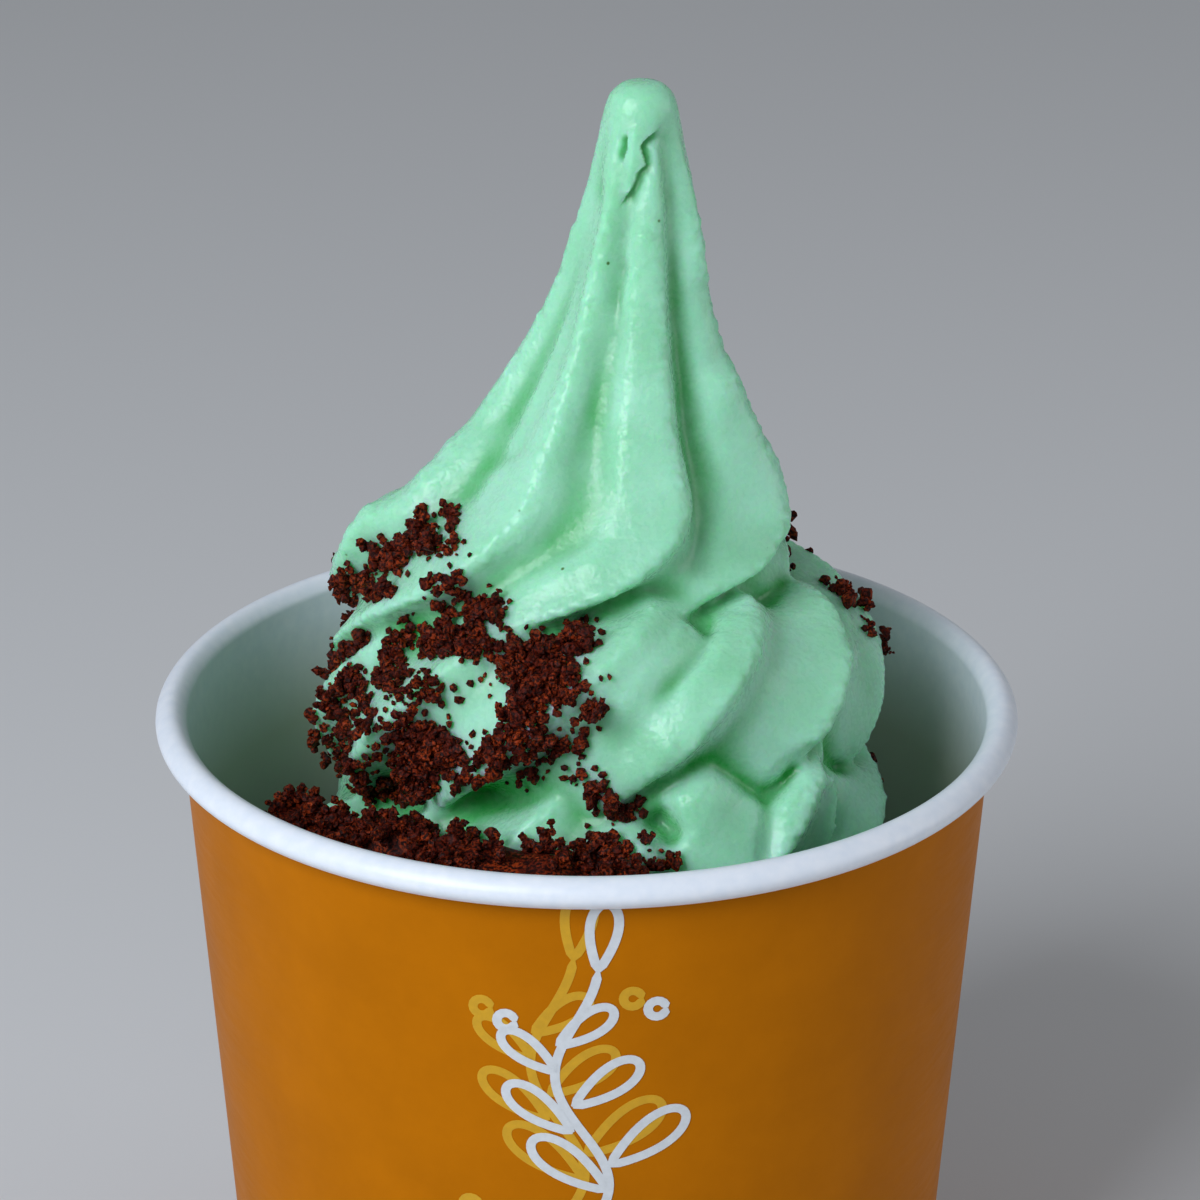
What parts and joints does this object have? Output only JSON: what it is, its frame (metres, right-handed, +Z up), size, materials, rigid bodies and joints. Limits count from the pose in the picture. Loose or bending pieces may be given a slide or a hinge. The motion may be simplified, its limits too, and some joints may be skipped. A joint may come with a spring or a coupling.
{
  "type": "frozen yogurt cup",
  "caption": "Paper cup of soft-serve frozen yogurt with a tall ribbed swirl and dark cake crumbs.",
  "frame": {"origin": "middle of the cup's foot, on the surface that it stands on", "axes": "+Z up along the cup's axis; -Y towards the side with the crumbs, which the picture shows"},
  "size_m": [0.09, 0.09, 0.1508],
  "materials": {
    "printed_board": "satin",
    "white_board": "satin",
    "mint_yogurt": "moist satin",
    "cake_crumbs": "matte"
  },
  "bodies": {
    "root": {"cup_wall": "printed_board", "cup_base": "white_board", "frozen_yogurt": "mint_yogurt", "crumb_heap": "cake_crumbs"}
  },
  "joints": []
}
